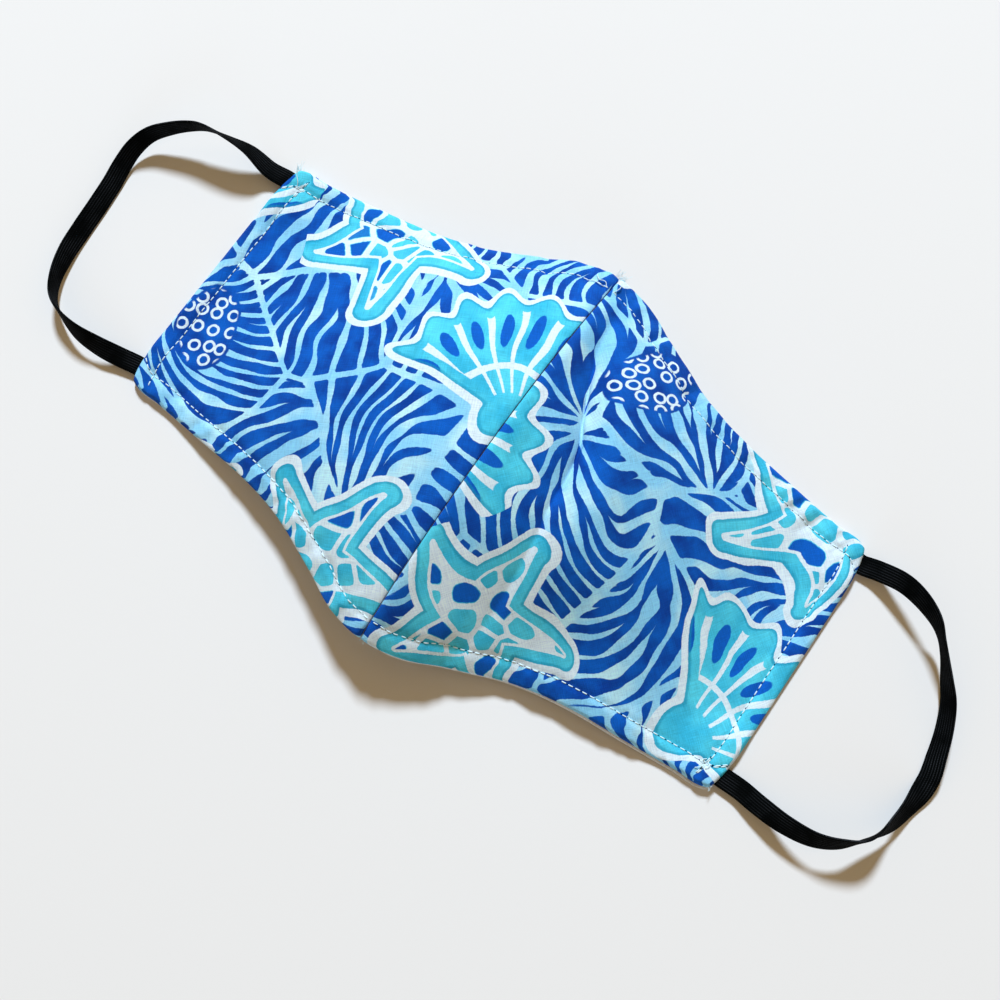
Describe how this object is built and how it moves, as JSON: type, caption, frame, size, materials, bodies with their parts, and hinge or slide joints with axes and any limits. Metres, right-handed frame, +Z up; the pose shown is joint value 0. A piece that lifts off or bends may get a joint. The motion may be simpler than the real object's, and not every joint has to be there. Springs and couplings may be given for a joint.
{
  "type": "cloth face mask",
  "caption": "Contoured cloth face mask of printed cotton with a white lining, a curved centre seam and black elastic ear loops, lying on its side edges.",
  "frame": {"origin": "middle of the footprint of mask and ear loops, on the surface that the mask lies on", "axes": "+X from the left ear edge to the right ear edge, +Y from the chin end of the seam to the nose end, +Z up, out of the printed face"},
  "size_m": [0.3246, 0.1364, 0.0343],
  "materials": {
    "printed_cotton": "matt plain-weave cotton printed with wavy blue and pale blue stripes and turquoise motifs outlined in white",
    "lining_cotton": "matt white plain-weave cotton",
    "black_elastic": "black ribbed braided elastic with a faint sheen"
  },
  "bodies": {
    "root": {"lining_left": "lining_cotton", "outer_left": "printed_cotton", "lining_right": "lining_cotton", "outer_right": "printed_cotton", "ear_loop_left": "black_elastic", "ear_loop_right": "black_elastic"}
  },
  "joints": []
}
